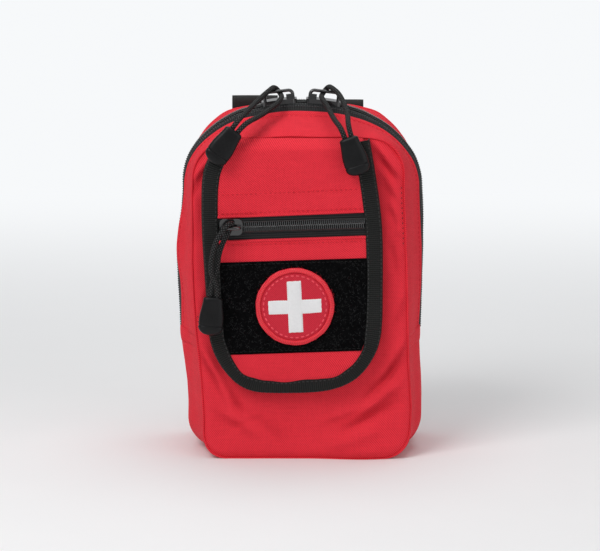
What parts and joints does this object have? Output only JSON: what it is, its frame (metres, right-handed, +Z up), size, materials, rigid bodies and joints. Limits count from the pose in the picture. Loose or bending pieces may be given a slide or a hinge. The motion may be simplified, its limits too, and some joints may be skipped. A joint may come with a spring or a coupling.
{
  "type": "first aid kit",
  "caption": "Soft zipped first aid pouch with fold-down front, bound front pocket, hook-and-loop cross patch, cord zip pulls and snap-closed belt straps.",
  "frame": {"origin": "middle of the base on the surface it stands on, in the plane of the main zip", "axes": "+Z up, -Y towards the front pocket, +X to the right seen from the front"},
  "size_m": [0.132, 0.0917, 0.1979],
  "materials": {
    "red_fabric": "fine woven polyester",
    "black_webbing": "ribbed nylon tape",
    "black_tape": "woven zip tape",
    "black_coil": "nylon coil",
    "loop_pile": "loop pile",
    "patch_red": "embroidered twill",
    "white_satin": "satin stitch",
    "slider_metal": "gloss black lacquer",
    "pull_cord": "braided cord",
    "pull_plastic": "moulded",
    "snap_metal": "black lacquer",
    "mesh": "knitted net",
    "elastic": "woven elastic",
    "gauze": "open cotton weave",
    "bandage": "stretch crepe",
    "tape_white": "adhesive cloth tape",
    "paper_white": "plain wrapper",
    "foil_silver": "foil film",
    "glove_blue": "clear bag of folded gloves",
    "steel": "satin"
  },
  "bodies": {
    "bag": {"back_panel": "red_fabric", "bandage_roll": "bandage", "base_gusset": "red_fabric", "binding_base": "black_webbing", "blanket_pack": "foil_silver", "dressing_pack": "paper_white", "elastic_band_lower": "elastic", "elastic_band_upper": "elastic", "front_panel_base": "red_fabric", "gauze_roll": "gauze", "glove_pack": "glove_blue", "left_strap_tab": "black_webbing", "pocket_panel_base": "red_fabric", "rear_gusset": "red_fabric", "rear_zip_coil": "black_coil", "rear_zip_tape": "black_tape", "right_strap_tab": "black_webbing", "snap_studs": "snap_metal", "tape_roll": "tape_white", "tweezers": "steel", "webbing_lower": "black_webbing", "webbing_middle": "black_webbing", "webbing_upper": "black_webbing"},
    "front_flap": {"front_panel": "red_fabric", "front_gusset": "red_fabric", "front_zip_tape": "black_tape", "front_zip_coil": "black_coil", "pocket_top_panel": "red_fabric", "pocket_panel": "red_fabric", "pocket_zip_tape_upper": "black_tape", "pocket_zip_tape_lower": "black_tape", "pocket_zip_coil_upper": "black_coil", "pocket_zip_coil_lower": "black_coil", "binding_left": "black_webbing", "binding_right": "black_webbing", "loop_panel": "loop_pile", "mesh_pocket": "mesh", "mesh_pocket_hem": "elastic", "wipe_sachets": "paper_white"},
    "left_slider": {"left_slider_body": "slider_metal"},
    "right_slider": {"right_slider_body": "slider_metal"},
    "left_pull": {"left_pull_cord": "pull_cord", "left_pull_grip": "pull_plastic", "left_pull_cap": "pull_plastic"},
    "right_pull": {"right_pull_cord": "pull_cord", "right_pull_grip": "pull_plastic", "right_pull_cap": "pull_plastic"},
    "pocket_slider": {"pocket_slider_body": "slider_metal"},
    "pocket_pull": {"pocket_pull_cord": "pull_cord", "pocket_pull_grip": "pull_plastic", "pocket_pull_cap": "pull_plastic"},
    "patch": {"patch_disc": "patch_red", "patch_rim": "patch_red", "patch_cross": "white_satin"},
    "left_strap_flap": {"left_strap": "black_webbing", "left_snap_cap": "snap_metal"},
    "right_strap_flap": {"right_strap": "black_webbing", "right_snap_cap": "snap_metal"}
  },
  "joints": [
    {"name": "front_fold", "type": "hinge", "parent": "bag", "child": "front_flap", "pos_m": [0, -0.0404, 0.058], "axis": [1, 0, 0], "range_deg": [0, 90]},
    {"name": "left_slider_run", "type": "hinge", "parent": "front_flap", "child": "left_slider", "pos_m": [0, 0, 0.084], "axis": [0, -1, 0], "range_deg": [0, 11.5]},
    {"name": "right_slider_run", "type": "hinge", "parent": "front_flap", "child": "right_slider", "pos_m": [0, 0, 0.084], "axis": [0, 1, 0], "range_deg": [0, 11.5]},
    {"name": "left_pull_lift", "type": "hinge", "parent": "left_slider", "child": "left_pull", "pos_m": [-0.01254, 0, 0.19404], "axis": [-0.9936, 0, -0.1132], "range_deg": [0, 130]},
    {"name": "right_pull_lift", "type": "hinge", "parent": "right_slider", "child": "right_pull", "pos_m": [0.01254, 0, 0.19404], "axis": [-0.9936, 0, 0.1132], "range_deg": [0, 130]},
    {"name": "pocket_slider_run", "type": "slide", "parent": "front_flap", "child": "pocket_slider", "axis": [1, 0, 0], "range_m": [0, 0.063]},
    {"name": "pocket_pull_swing", "type": "hinge", "parent": "pocket_slider", "child": "pocket_pull", "pos_m": [-0.0372, -0.04625, 0.127], "axis": [-1, 0, 0], "range_deg": [0, 150]},
    {"name": "patch_peel", "type": "slide", "parent": "front_flap", "child": "patch", "axis": [0, -1, 0], "range_m": [0, 0.03]},
    {"name": "left_strap_fold", "type": "hinge", "parent": "bag", "child": "left_strap_flap", "pos_m": [-0.0255, 0.04, 0.18585], "axis": [1, 0, 0], "range_deg": [0, 90]},
    {"name": "right_strap_fold", "type": "hinge", "parent": "bag", "child": "right_strap_flap", "pos_m": [0.0215, 0.04, 0.18335], "axis": [1, 0, 0], "range_deg": [0, 90]}
  ]
}
